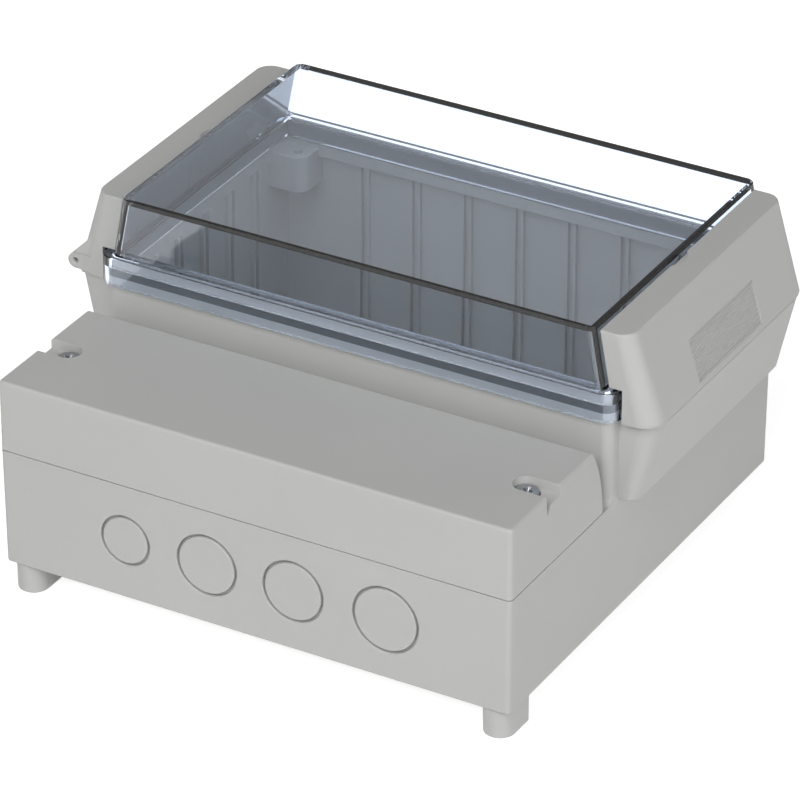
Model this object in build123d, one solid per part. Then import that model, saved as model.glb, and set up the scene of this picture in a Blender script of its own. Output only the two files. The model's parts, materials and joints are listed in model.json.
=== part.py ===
from build123d import *
import os

os.makedirs("parts", exist_ok=True)

# A wall-mounting controller enclosure, in millimetres. +Z is up from the surface it stands on,
# +X is to the right, -Y is the terminal side. The origin is under the middle of the enclosure,
# on the plane of the feet.

# Overall sizes
BASE_WIDTH = 166.0
BASE_DEPTH = 160.0
FOOT_HEIGHT = 9.5
FLOOR = 2.5
WALL = 2.5
BASE_DRAFT = 0.3
BASE_CORNER = 1.5

# Heights above the feet plane
SEAM_Z = 46.6
COVER_TOP_Z = 69.4
RIDGE_Z = 74.1
LEDGE_Z = 76.8
LID_TOP_Z = 102.8
SIDE_TOP_DROP = 1.6

# Clearances between pieces that come apart
SEAM_GAP = 0.3
SIDE_GAP = 0.35
LID_SIDE_GAP = 0.4
FLANGE_GAP = 0.5
TONGUE_GAP = 0.3
TAB_GAP = 0.5

# Main compartment
UPPER_FRONT_SETBACK = 57.3
UPPER_CORNER = 3.3
GROOVE_FILLET = 2.5
RIM_REAR_INSET = 1.6
RIM_BAND_HEIGHT = 4.1
RIM_BAND_INSET = 3.4
TONGUE_OUTER_INSET = 1.3
TONGUE_THICKNESS = 1.2
TONGUE_HEIGHT = 5.3

# Lid
LID_FLANGE_TOP_Z = 83.4
LID_FLANGE_THICKNESS = 3.8
LID_FLANGE_REACH = 1.6
LID_LIP_THICKNESS = 2.0
LID_LIP_DROP = 1.7
LID_SKIRT_BOTTOM_Z = 74.3
LID_WALL = 2.3
LID_TOP_WALL = 2.4
LID_FOOT_SIDE_INSET = 2.5
LID_TOP_SIDE_INSET = 6.1
LID_FRONT_SETBACK = 57.0
LID_REAR_INSET = 1.5
LID_END_LEAN = 0.4
LID_CORNER = 2.5

# Side covers and the fairings that carry them. Reaches are measured out from the base's sides.
RIDGE_REACH = 12.7
SIDE_TOP_REACH = 4.2
FAIRING_FOOT_REACH = 5.7
FAIRING_FOOT_Z = 47.1
SIDE_FRONT_SETBACK = 59.8
SIDE_REAR_INSET = 4.4
FAIRING_PLAIN_END_INSET = 2.6
FAIRING_EAR_END_INSET = 0.9
RIDGE_CORNER = 6.5
SIDE_TOP_CORNER = 5.0
FAIRING_FOOT_CORNER = 4.0
SIDE_LIP = 0.8
SIDE_WALL = 1.9
SIDE_INNER_WALL = 1.4
SIDE_INNER_WALL_CLEAR = 2.0
FAIRING_WALL = 2.0
FAIRING_POCKET_Z = 52.7

# The sealing ear at the front of the left side, one half on the side cover and one on the base
EAR_INSET = 1.0
EAR_Z = 76.6
EAR_NOSE = 2.45
EAR_HOLE = 1.6
COVER_EAR_THICKNESS = 2.7
EAR_PAD_THICKNESS = 0.8
BASE_EAR_THICKNESS = 2.9
EAR_ROOT_RISE = 11.1
EAR_ROOT_INSET = 2.6
EAR_ROOT_DROP = 1.5

# Grip pad, release notch and spring tabs of a side cover
GRIP_LENGTH = 39.5
GRIP_FOOT_Z = 75.3
GRIP_TOP_Z = 88.3
GRIP_DEPTH = 0.5
NOTCH_LENGTH = 10.0
NOTCH_WIDTH = 1.8
NOTCH_DEPTH = 0.9
TAB_THICKNESS = 1.4
TAB_WIDTH = 10.0
TAB_DROP = 7.0
TAB_RISE = 14.0
TAB_SCREW_SPACING = 15.0

# Lid screws, their lugs, bosses and inserts
LID_SCREW_REACH = 4.75
LID_SCREW_END_INSET = 14.9
LUG_RADIUS = 3.2
LUG_FOOT_Z = 74.3
LUG_TOP_Z = 79.1
LID_BOSS_RADIUS = 4.0
LID_BOSS_FOOT_Z = 64.2
M3_SHANK = 2.8
M3_HEAD = 5.5
M3_HEAD_HEIGHT = 2.0
M3_LENGTH = 12.6
M3_INSERT = 4.6
M3_INSERT_LENGTH = 6.0
LID_WEB_DROP = 8.0
LID_WEB_THICKNESS = 3.0

# Terminal cover
COVER_WALL = 2.2
COVER_REAR_SETBACK = 53.8
COVER_TOP_DEPTH = 47.3
COVER_EDGE_ROUND = 1.0
COVER_RIM_THICKNESS = 4.4
COVER_RIM_HEIGHT = 5.0
COVER_TONGUE_HEIGHT = 1.5
COVER_GASKET_HEIGHT = 1.5
SLOT_WIDTH = 8.0
SLOT_DEPTH = 3.2
SLOT_BLOCK_WALL = 2.0
VEE_WIDTH = 2.3
VEE_DEPTH = 3.0
VEE_TIP = 0.5
VEE_REACH = 1.5
COUNTERBORE_DEPTH = 1.6
COVER_COLUMN_RADIUS = 4.5
COVER_SCREW_SIDE_INSET = 8.5
COVER_SCREW_SETBACK = 24.2
M4_SHANK = 3.8
M4_HEAD = 7.2
M4_HEAD_HEIGHT = 2.4
M4_LENGTH = 26.0
M4_INSERT = 5.6
M4_INSERT_LENGTH = 7.0

# Fits shared by both screw sizes
SCREW_RUNNING_GAP = 0.3
CLEARANCE_HOLE_GAP = 0.4
HEAD_GAP = 0.3
PILOT_EXTRA_DEPTH = 1.2
WASHER_OVERLAP = 1.2
WASHER_THICKNESS = 0.6
WASHER_RECESS = 1.2
WASHER_DROP = 0.2
RECESS_LENGTH_SHARE = 0.6
RECESS_WIDTH = 0.8
RECESS_DEPTH = 1.1

# Base details
KNOCKOUTS = [(-41.6, 15.5), (-14.6, 19.0), (13.6, 19.0), (43.4, 20.5)]
KNOCKOUT_Z = 28.5
KNOCKOUT_GROOVE_WIDTH = 0.8
KNOCKOUT_GROOVE_DEPTH = 1.3
FOOT_RADIUS = 4.8
FOOT_LENGTH = 13.0
FOOT_SIDE_INSET = 1.0
FOOT_SETBACK = 1.0
REAR_FOOT_INSET = 9.0
FIXING_HOLE = 3.4
FIXING_DEPTH = 10.5
GUIDE_RIB = 0.9
GUIDE_SLOT = 1.7
GUIDE_HEIGHT = 1.5
GUIDE_FOOT_Z = 19.6
REAR_GUIDE_PITCH = 17.7
REAR_GUIDE_COUNT = 7
SIDE_GUIDE_PITCH = 14.25
SIDE_GUIDE_COUNT = 5
BOSS_RADIUS = 4.3
BOSS_SIDE_INSET = 10.5
BOSS_WALL_GAP = 7.5
BOSS_TOP_Z = 75.7
BOSS_HEIGHT = 12.0
BOSS_HOLE = 2.5
BOSS_HOLE_DEPTH = 9.0
WINDOW_WIDTH = 64.0
WINDOW_HEIGHT = 17.0
WINDOW_Z = 29.5
WINDOW_CORNER = 3.0
GUIDE_WINDOW_GAP = 2.0
PARTITION_WEB = 2.5
PILLAR_RIB = 2.0

# How far cuts run past a face and added ribs run into a wall, and the least corner radius
OVERRUN = 1.0
ROOT = 0.5
SLAB_REACH = 10.0
LEAST_CORNER = 0.3
EDGE_MATCH = 0.01

# Lengths that follow from the sizes above
SIDE_TOP_Z = LID_TOP_Z - SIDE_TOP_DROP
HALF_WIDTH = BASE_WIDTH / 2
RIDGE_HALF_WIDTH = HALF_WIDTH + RIDGE_REACH
SIDE_TOP_HALF_WIDTH = HALF_WIDTH + SIDE_TOP_REACH
FAIRING_FOOT_HALF_WIDTH = HALF_WIDTH + FAIRING_FOOT_REACH
LID_FOOT_HALF_WIDTH = HALF_WIDTH - LID_FOOT_SIDE_INSET
LID_TOP_HALF_WIDTH = HALF_WIDTH - LID_TOP_SIDE_INSET
EAR_X = RIDGE_HALF_WIDTH - EAR_INSET
LID_SCREW_X = HALF_WIDTH + LID_SCREW_REACH
COVER_SCREW_X = HALF_WIDTH - COVER_SCREW_SIDE_INSET
BOSS_X = HALF_WIDTH - BOSS_SIDE_INSET
FRONT_Y = -BASE_DEPTH / 2
REAR_Y = BASE_DEPTH / 2
FLOOR_Z = FOOT_HEIGHT + FLOOR
UPPER_FRONT_Y = FRONT_Y + UPPER_FRONT_SETBACK
COVER_REAR_Y = FRONT_Y + COVER_REAR_SETBACK
RIM_REAR_Y = REAR_Y - RIM_REAR_INSET
TONGUE_TOP_Z = LEDGE_Z + TONGUE_HEIGHT
TONGUE_INNER_INSET = TONGUE_OUTER_INSET + TONGUE_THICKNESS
LID_FLANGE_FOOT_Z = LID_FLANGE_TOP_Z - LID_FLANGE_THICKNESS
LID_LIP_INSET = TONGUE_INNER_INSET + TONGUE_GAP
SIDE_FRONT_Y = FRONT_Y + SIDE_FRONT_SETBACK
SIDE_REAR_Y = REAR_Y - SIDE_REAR_INSET
SIDE_CENTRE_Y = (SIDE_FRONT_Y + SIDE_REAR_Y) / 2
SIDE_FOOT_Z = RIDGE_Z - SIDE_LIP
FAIRING_TOP_Z = SIDE_FOOT_Z - SIDE_GAP
LID_SCREW_YS = [SIDE_FRONT_Y + LID_SCREW_END_INSET, SIDE_REAR_Y - LID_SCREW_END_INSET]
TAB_YS = [LID_SCREW_YS[0] + TAB_SCREW_SPACING, LID_SCREW_YS[1] - TAB_SCREW_SPACING]
LID_BOSS_TOP_Z = LUG_FOOT_Z - SEAM_GAP
COVER_SCREW_Y = FRONT_Y + COVER_SCREW_SETBACK
COVER_FOOT_Z = SEAM_Z + SEAM_GAP
SLOT_FLOOR_Z = COVER_TOP_Z - SLOT_DEPTH
COUNTERBORE_Z = SLOT_FLOOR_Z - COUNTERBORE_DEPTH
MAIN_CENTRE_Y = (UPPER_FRONT_Y + REAR_Y) / 2


def plan(half_x, y_front, y_rear, front_corner, rear_corner, inset=0.0):
    """A rectangle seen from above, drawn in from its sides by inset, with rounded corners."""
    centre = Pos(0, (y_front + y_rear) / 2)
    face = centre * Rectangle(2 * (half_x - inset), y_rear - y_front - 2 * inset)
    face = fillet(face.vertices().group_by(Axis.Y)[0], max(front_corner - inset, LEAST_CORNER))
    return fillet(face.vertices().group_by(Axis.Y)[-1], max(rear_corner - inset, LEAST_CORNER))


def prism(face, z_low, z_high):
    return extrude(Pos(0, 0, z_low) * face, amount=z_high - z_low)


def ring(outline, outer_inset, inner_inset, z_low, z_high):
    """An upright band that follows an outline between two insets."""
    return prism(outline(outer_inset), z_low, z_high) - prism(outline(inner_inset), z_low, z_high)


def block(x_low, x_high, y_low, y_high, z_low, z_high):
    size = Box(x_high - x_low, y_high - y_low, z_high - z_low)
    return Pos((x_low + x_high) / 2, (y_low + y_high) / 2, (z_low + z_high) / 2) * size


def post(x, y, radius, z_low, z_high):
    return Pos(x, y, z_low) * extrude(Circle(radius), amount=z_high - z_low)


def half_turn(shape):
    """The same shape on the other side: half a turn about the middle of the side covers."""
    return Pos(0, SIDE_CENTRE_Y) * Rot(0, 0, 180) * Pos(0, -SIDE_CENTRE_Y) * shape


def rim_outline(inset):
    return plan(HALF_WIDTH, UPPER_FRONT_Y, RIM_REAR_Y, UPPER_CORNER, UPPER_CORNER, inset)


def front_outline(inset):
    return plan(HALF_WIDTH, FRONT_Y, COVER_REAR_Y, BASE_CORNER, BASE_CORNER, inset)


def side_half_width(z):
    """Half width over the fairings and side covers, which is largest at the ridge."""
    if z >= RIDGE_Z:
        share = (z - RIDGE_Z) / (SIDE_TOP_Z - RIDGE_Z)
        return RIDGE_HALF_WIDTH + share * (SIDE_TOP_HALF_WIDTH - RIDGE_HALF_WIDTH)
    share = (RIDGE_Z - z) / (RIDGE_Z - FAIRING_FOOT_Z)
    return RIDGE_HALF_WIDTH + share * (FAIRING_FOOT_HALF_WIDTH - RIDGE_HALF_WIDTH)


def side_corner(z):
    if z >= RIDGE_Z:
        share = (z - RIDGE_Z) / (SIDE_TOP_Z - RIDGE_Z)
        return RIDGE_CORNER + share * (SIDE_TOP_CORNER - RIDGE_CORNER)
    share = (RIDGE_Z - z) / (RIDGE_Z - FAIRING_FOOT_Z)
    return RIDGE_CORNER + share * (FAIRING_FOOT_CORNER - RIDGE_CORNER)


def side_outline(z, x_inner, y_front, y_rear, inset):
    x_outer = side_half_width(z) - inset
    centre = Pos((x_inner + x_outer) / 2, (y_front + y_rear) / 2, z)
    face = centre * Rectangle(x_outer - x_inner, y_rear - y_front - 2 * inset)
    return fillet(face.vertices().group_by(Axis.X)[-1], side_corner(z) - inset)


def side_body(z_low, z_high, x_inner, y_front, y_rear, inset=0.0):
    """A sloped length of the right side, between two heights on one side of the ridge."""
    low = side_outline(z_low, x_inner, y_front, y_rear, inset)
    high = side_outline(z_high, x_inner, y_front, y_rear, inset)
    return loft([low, high], ruled=True)


def side_profile(points, y_low, y_high):
    """A prism along Y with its outline given as X, Z points."""
    face = Plane.XZ * make_face(Polyline(*points, close=True))
    return Pos(0, y_high, 0) * extrude(face, amount=y_high - y_low)


def lid_side_x(z):
    """Outer face of the lid's side wall at a height."""
    share = (z - LID_FLANGE_TOP_Z) / (LID_TOP_Z - LID_FLANGE_TOP_Z)
    return LID_FOOT_HALF_WIDTH + share * (LID_TOP_HALF_WIDTH - LID_FOOT_HALF_WIDTH)


def ear_plate(y_low, y_high, root_points):
    """The right sealing ear: a nose round the wire hole, tapered back to its root."""
    nose = Pos(EAR_X, EAR_Z) * Circle(EAR_NOSE)
    root = Polyline(*root_points)
    outline = make_hull(nose.edges() + root.edges())
    plate = Pos(0, y_high, 0) * extrude(Plane.XZ * outline, amount=y_high - y_low)
    hole = Pos(EAR_X, (y_low + y_high) / 2, EAR_Z) * Rot(90, 0, 0) * Cylinder(
        EAR_HOLE / 2, 2 * (y_high - y_low)
    )
    return plate, hole


def fairing():
    """The right fairing: a sloped pocket on the side wall, with two screw bosses in it."""
    y_front = SIDE_FRONT_Y + FAIRING_PLAIN_END_INSET
    y_rear = SIDE_REAR_Y - FAIRING_EAR_END_INSET
    shell = side_body(FAIRING_FOOT_Z, FAIRING_TOP_Z, HALF_WIDTH - WALL / 2, y_front, y_rear)
    shell -= side_body(FAIRING_POCKET_Z, RIDGE_Z, HALF_WIDTH, y_front, y_rear, FAIRING_WALL)
    envelope = side_body(FAIRING_FOOT_Z, RIDGE_Z, HALF_WIDTH - WALL, y_front, y_rear)
    for y in LID_SCREW_YS:
        boss = post(LID_SCREW_X, y, LID_BOSS_RADIUS, LID_BOSS_FOOT_Z, LID_BOSS_TOP_Z)
        low_y = y - LID_WEB_THICKNESS / 2
        high_y = y + LID_WEB_THICKNESS / 2
        web_foot = LID_BOSS_FOOT_Z - LID_WEB_DROP
        web = block(HALF_WIDTH - WALL / 2, LID_SCREW_X, low_y, high_y, web_foot, FAIRING_TOP_Z)
        shell += (boss + web) & envelope
        insert_foot = LID_BOSS_TOP_Z - M3_INSERT_LENGTH
        pilot_foot = LUG_TOP_Z + HEAD_GAP - M3_LENGTH - PILOT_EXTRA_DEPTH
        shell -= post(LID_SCREW_X, y, M3_INSERT / 2, insert_foot, LID_BOSS_TOP_Z)
        shell -= post(LID_SCREW_X, y, M3_SHANK / 2 + SCREW_RUNNING_GAP, pilot_foot, insert_foot)
    return shell


def base_ear():
    """The base's half of the sealing ear, at the rear of the right fairing before its half turn."""
    y_high = SIDE_REAR_Y - COVER_EAR_THICKNESS - SEAM_GAP
    y_low = y_high - BASE_EAR_THICKNESS
    root_z = FAIRING_TOP_Z - EAR_ROOT_DROP
    roots = [(EAR_X - EAR_NOSE, root_z), (side_half_width(root_z) - ROOT, root_z)]
    plate, hole = ear_plate(y_low, y_high, roots)
    return plate - hole


def card_guides():
    """Pairs of upright ribs that hold card edges against the four inner walls."""
    ribs = []
    half_step = (GUIDE_SLOT + GUIDE_RIB) / 2
    inner_x = HALF_WIDTH - WALL
    inner_rear = REAR_Y - WALL
    top_z = LEDGE_Z - RIM_BAND_HEIGHT
    short_foot = WINDOW_Z + WINDOW_HEIGHT / 2 + GUIDE_WINDOW_GAP
    web_foot = SEAM_Z - PARTITION_WEB + ROOT
    for index in range(REAR_GUIDE_COUNT):
        centre_x = (index - (REAR_GUIDE_COUNT - 1) / 2) * REAR_GUIDE_PITCH
        for x in (centre_x - half_step, centre_x + half_step):
            low = x - GUIDE_RIB / 2
            high = x + GUIDE_RIB / 2
            rear_face = inner_rear - GUIDE_HEIGHT
            front_face = COVER_REAR_Y + GUIDE_HEIGHT
            ribs.append(block(low, high, rear_face, inner_rear + ROOT, GUIDE_FOOT_Z, top_z))
            ribs.append(block(low, high, COVER_REAR_Y - ROOT, front_face, short_foot, web_foot))
    for index in range(SIDE_GUIDE_COUNT):
        centre_y = MAIN_CENTRE_Y + (index - (SIDE_GUIDE_COUNT - 1) / 2) * SIDE_GUIDE_PITCH
        for y in (centre_y - half_step, centre_y + half_step):
            low = y - GUIDE_RIB / 2
            high = y + GUIDE_RIB / 2
            ribs.append(block(inner_x - GUIDE_HEIGHT, inner_x + ROOT, low, high, GUIDE_FOOT_Z, top_z))
            ribs.append(block(-inner_x - ROOT, GUIDE_HEIGHT - inner_x, low, high, GUIDE_FOOT_Z, top_z))
    return ribs


def corner_bosses():
    """Four bosses hung in the corners of the main compartment, each with a pilot hole."""
    bosses = []
    holes = []
    foot_z = BOSS_TOP_Z - BOSS_HEIGHT
    inner_x = HALF_WIDTH - WALL
    rear_y = REAR_Y - WALL
    front_y = UPPER_FRONT_Y + WALL
    for side in (-1, 1):
        x = side * BOSS_X
        wall_x = side * (inner_x + ROOT)
        for wall_y, inward in ((rear_y + ROOT, -1), (front_y - ROOT, 1)):
            y = wall_y + inward * (BOSS_WALL_GAP + ROOT)
            boss = post(x, y, BOSS_RADIUS, foot_z, BOSS_TOP_Z)
            x_pair = sorted((x, wall_x))
            y_pair = sorted((y, wall_y))
            boss += block(*x_pair, y - BOSS_RADIUS, y + BOSS_RADIUS, foot_z, BOSS_TOP_Z)
            boss += block(x - BOSS_RADIUS, x + BOSS_RADIUS, *y_pair, foot_z, BOSS_TOP_Z)
            boss += block(*x_pair, *y_pair, foot_z, BOSS_TOP_Z)
            bosses.append(boss)
            holes.append(post(x, y, BOSS_HOLE / 2, BOSS_TOP_Z - BOSS_HOLE_DEPTH, BOSS_TOP_Z + OVERRUN))
    return bosses, holes


def foot(side, end, inset):
    """A foot with a round nose, and its fixing hole. end is -1 at the front and 1 at the rear."""
    x = side * (HALF_WIDTH - BASE_DRAFT - FOOT_SIDE_INSET - FOOT_RADIUS - inset)
    y = end * (REAR_Y - FOOT_SETBACK - FOOT_RADIUS)
    back_y = y - end * (FOOT_LENGTH - FOOT_RADIUS)
    y_pair = sorted((y, back_y))
    top_z = FOOT_HEIGHT + FLOOR / 2
    solid = post(x, y, FOOT_RADIUS, 0, top_z)
    solid += block(x - FOOT_RADIUS, x + FOOT_RADIUS, *y_pair, 0, top_z)
    return solid, post(x, y, FIXING_HOLE / 2, -OVERRUN, FIXING_DEPTH)


def feet():
    """Four feet. The rear pair stands further in, so that it doesn't show from the front."""
    solids = []
    holes = []
    for side in (-1, 1):
        for end, inset in ((-1, 0), (1, REAR_FOOT_INSET)):
            solid, hole = foot(side, end, inset)
            solids.append(solid)
            holes.append(hole)
    return solids, holes


def cover_pillars():
    """Pillars in the terminal compartment that take the terminal cover's screws."""
    pillars = []
    holes = []
    for side in (-1, 1):
        x = side * COVER_SCREW_X
        pillar = post(x, COVER_SCREW_Y, COVER_COLUMN_RADIUS, FOOT_HEIGHT + FLOOR / 2, SEAM_Z)
        x_pair = sorted((x, side * (HALF_WIDTH - WALL + ROOT)))
        low_y = COVER_SCREW_Y - PILLAR_RIB / 2
        rib = block(*x_pair, low_y, low_y + PILLAR_RIB, FLOOR_Z - ROOT, SEAM_Z)
        pillars.append(pillar + rib)
        insert_foot = SEAM_Z - M4_INSERT_LENGTH
        tip_z = COUNTERBORE_Z + HEAD_GAP - M4_LENGTH - PILOT_EXTRA_DEPTH
        holes.append(post(x, COVER_SCREW_Y, M4_INSERT / 2, insert_foot, SEAM_Z + OVERRUN))
        holes.append(post(x, COVER_SCREW_Y, M4_SHANK / 2 + SCREW_RUNNING_GAP, tip_z, insert_foot))
    return pillars, holes


def knockout_grooves():
    """Ring grooves in the front wall that let the cable entries be knocked out."""
    grooves = []
    for x, diameter in KNOCKOUTS:
        outer = Circle((diameter + KNOCKOUT_GROOVE_WIDTH) / 2)
        inner = Circle((diameter - KNOCKOUT_GROOVE_WIDTH) / 2)
        face = Plane.XZ * (Pos(x, KNOCKOUT_Z) * (outer - inner))
        deep = extrude(face, amount=-(KNOCKOUT_GROOVE_DEPTH + BASE_DRAFT))
        grooves.append(Pos(0, FRONT_Y, 0) * deep)
    return grooves


def upper_walls(footprint):
    """The main compartment's block above the seam, with a fillet round its foot."""
    slab_x = HALF_WIDTH + SLAB_REACH
    slab_y = REAR_Y + SLAB_REACH
    slab = block(-slab_x, slab_x, -slab_y, slab_y, SEAM_Z - OVERRUN, SEAM_Z)
    upper = plan(HALF_WIDTH, UPPER_FRONT_Y, REAR_Y, UPPER_CORNER, BASE_CORNER)
    walls = slab + prism(upper, SEAM_Z, LID_SKIRT_BOTTOM_Z - SEAM_GAP)
    level = walls.edges().filter_by_position(Axis.Z, SEAM_Z - EDGE_MATCH, SEAM_Z + EDGE_MATCH)
    inside = [edge for edge in level if abs(edge.center().X) < slab_x - EDGE_MATCH]
    round_foot = [edge for edge in inside if abs(edge.center().Y) < slab_y - EDGE_MATCH]
    walls = fillet(round_foot, GROOVE_FILLET)
    return walls & prism(footprint, SEAM_Z - OVERRUN, LEDGE_Z)


def base_housing():
    foot_corner = BASE_CORNER + BASE_DRAFT
    lower_foot = plan(HALF_WIDTH, FRONT_Y, REAR_Y, foot_corner, foot_corner, BASE_DRAFT)
    lower_top = plan(HALF_WIDTH, FRONT_Y, REAR_Y, BASE_CORNER, BASE_CORNER)
    body = loft([Pos(0, 0, FOOT_HEIGHT) * lower_foot, Pos(0, 0, SEAM_Z) * lower_top], ruled=True)
    band_foot = LEDGE_Z - RIM_BAND_HEIGHT
    body += upper_walls(lower_top)
    body += prism(rim_outline(0), SEAM_Z, LEDGE_Z)
    body += ring(rim_outline, TONGUE_OUTER_INSET, TONGUE_INNER_INSET, LEDGE_Z, TONGUE_TOP_Z)
    body += ring(front_outline, TONGUE_OUTER_INSET, WALL, SEAM_Z, SEAM_Z + COVER_TONGUE_HEIGHT)
    terminal_space = plan(HALF_WIDTH, FRONT_Y, COVER_REAR_Y, BASE_CORNER, BASE_CORNER, WALL)
    body -= prism(terminal_space, FLOOR_Z, SEAM_Z + COVER_TONGUE_HEIGHT)
    main_front = COVER_REAR_Y - WALL
    main_space = plan(HALF_WIDTH, main_front, REAR_Y, BASE_CORNER, BASE_CORNER, WALL)
    body -= prism(main_space, FLOOR_Z, SEAM_Z - PARTITION_WEB)
    upper_space = plan(HALF_WIDTH, UPPER_FRONT_Y, REAR_Y, UPPER_CORNER, BASE_CORNER, WALL)
    body -= prism(upper_space, SEAM_Z - PARTITION_WEB - OVERRUN, band_foot)
    body -= prism(rim_outline(RIM_BAND_INSET), band_foot - OVERRUN, LEDGE_Z)
    for rib in card_guides():
        body += rib
    bosses, boss_holes = corner_bosses()
    pillars, pillar_holes = cover_pillars()
    foot_solids, foot_holes = feet()
    for piece in bosses + pillars + foot_solids:
        body += piece
    right = fairing()
    body += right
    body += half_turn(right)
    body += half_turn(base_ear())
    window = Pos(0, WINDOW_Z) * RectangleRounded(WINDOW_WIDTH, WINDOW_HEIGHT, WINDOW_CORNER)
    window_cut = extrude(Plane.XZ * window, amount=WALL + 2 * OVERRUN)
    body -= Pos(0, COVER_REAR_Y + OVERRUN, 0) * window_cut
    for cut in boss_holes + pillar_holes + foot_holes + knockout_grooves():
        body -= cut
    return body


def lid():
    """The transparent lid: a tapered cap on a flange with a skirt outside the base rim."""
    front_y = FRONT_Y + LID_FRONT_SETBACK
    rear_y = REAR_Y - LID_REAR_INSET

    def lid_plan(z, inset):
        lean = LID_END_LEAN * (z - LID_FLANGE_TOP_Z) / (LID_TOP_Z - LID_FLANGE_TOP_Z)
        low_y = front_y + lean
        high_y = rear_y - lean
        return Pos(0, 0, z) * plan(lid_side_x(z), low_y, high_y, LID_CORNER, LID_CORNER, inset)

    inner_top = LID_TOP_Z - LID_TOP_WALL
    cap = loft([lid_plan(LID_FLANGE_TOP_Z, 0), lid_plan(LID_TOP_Z, 0)], ruled=True)
    flange = prism(rim_outline(-LID_FLANGE_REACH), LID_FLANGE_FOOT_Z, LID_FLANGE_TOP_Z)
    body = cap + flange
    body -= loft([lid_plan(LID_FLANGE_TOP_Z, LID_WALL), lid_plan(inner_top, LID_WALL)], ruled=True)
    lip_inner = LID_LIP_INSET + LID_LIP_THICKNESS
    body -= prism(rim_outline(lip_inner), LID_FLANGE_FOOT_Z, LID_FLANGE_TOP_Z)
    channel_top = TONGUE_TOP_Z + TONGUE_GAP
    channel_outer = TONGUE_OUTER_INSET - TONGUE_GAP
    body -= ring(rim_outline, channel_outer, LID_LIP_INSET, LID_FLANGE_FOOT_Z, channel_top)
    body += ring(rim_outline, -LID_FLANGE_REACH, -TONGUE_GAP, LID_SKIRT_BOTTOM_Z, LID_FLANGE_FOOT_Z)
    lip_foot = LID_FLANGE_FOOT_Z - LID_LIP_DROP
    body += ring(rim_outline, LID_LIP_INSET, lip_inner, lip_foot, LID_FLANGE_FOOT_Z)
    for y in LID_SCREW_YS:
        lug = lid_lug(y)
        body += lug
        body += half_turn(lug)
    return body


def lid_lug(y):
    """One right-hand lug, with the screw's clearance hole and the captive washer's recess."""
    skirt_x = HALF_WIDTH + (LID_FLANGE_REACH + TONGUE_GAP) / 2
    lug = post(LID_SCREW_X, y, LUG_RADIUS, LUG_FOOT_Z, LUG_TOP_Z)
    lug += block(skirt_x, LID_SCREW_X, y - LUG_RADIUS, y + LUG_RADIUS, LUG_FOOT_Z, LUG_TOP_Z)
    lug -= post(LID_SCREW_X, y, M3_SHANK / 2 + CLEARANCE_HOLE_GAP, LUG_FOOT_Z, LUG_TOP_Z)
    recess = M3_SHANK / 2 + WASHER_OVERLAP + SCREW_RUNNING_GAP
    return lug - post(LID_SCREW_X, y, recess, LUG_FOOT_Z, LUG_FOOT_Z + WASHER_RECESS)


def side_cover():
    """The right side cover: a hollow sloped cap, open below, that hides the lid screws."""
    outer = side_body(SIDE_FOOT_Z, RIDGE_Z, 0, SIDE_FRONT_Y, SIDE_REAR_Y)
    outer += side_body(RIDGE_Z, SIDE_TOP_Z, 0, SIDE_FRONT_Y, SIDE_REAR_Y)
    flange_x = HALF_WIDTH + LID_FLANGE_REACH + FLANGE_GAP
    flange_z = LID_FLANGE_TOP_Z + LID_SIDE_GAP
    lid_x_low = lid_side_x(flange_z) + LID_SIDE_GAP
    lid_x_high = lid_side_x(LID_TOP_Z) + LID_SIDE_GAP
    lid_space = [
        (-OVERRUN, SIDE_FOOT_Z - OVERRUN),
        (flange_x, SIDE_FOOT_Z - OVERRUN),
        (flange_x, flange_z),
        (lid_x_low, flange_z),
        (lid_x_high, LID_TOP_Z),
        (-OVERRUN, LID_TOP_Z),
    ]
    outer -= side_profile(lid_space, SIDE_FRONT_Y - OVERRUN, SIDE_REAR_Y + OVERRUN)
    inner_top = SIDE_TOP_Z - SIDE_WALL
    wall_foot = LID_FLANGE_TOP_Z + SIDE_INNER_WALL_CLEAR
    hollow = side_body(SIDE_FOOT_Z, RIDGE_Z, 0, SIDE_FRONT_Y, SIDE_REAR_Y, SIDE_WALL)
    hollow += side_body(RIDGE_Z, inner_top, 0, SIDE_FRONT_Y, SIDE_REAR_Y, SIDE_WALL)
    keep = LID_SIDE_GAP + SIDE_INNER_WALL
    inner_wall = [
        (-OVERRUN, wall_foot),
        (lid_side_x(wall_foot) + keep, wall_foot),
        (lid_side_x(LID_TOP_Z) + keep, LID_TOP_Z),
        (-OVERRUN, LID_TOP_Z),
    ]
    hollow -= side_profile(inner_wall, SIDE_FRONT_Y - OVERRUN, SIDE_REAR_Y + OVERRUN)
    body = outer - hollow
    tab_foot = SIDE_FOOT_Z - TAB_DROP
    tab_top = SIDE_FOOT_Z + TAB_RISE
    tab_x = side_half_width(tab_foot) - FAIRING_WALL - TAB_GAP
    for y in TAB_YS:
        half = TAB_WIDTH / 2
        body += block(tab_x - TAB_THICKNESS, tab_x, y - half, y + half, tab_foot, tab_top)
    body -= release_notch()
    return body - grip_recess()


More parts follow.
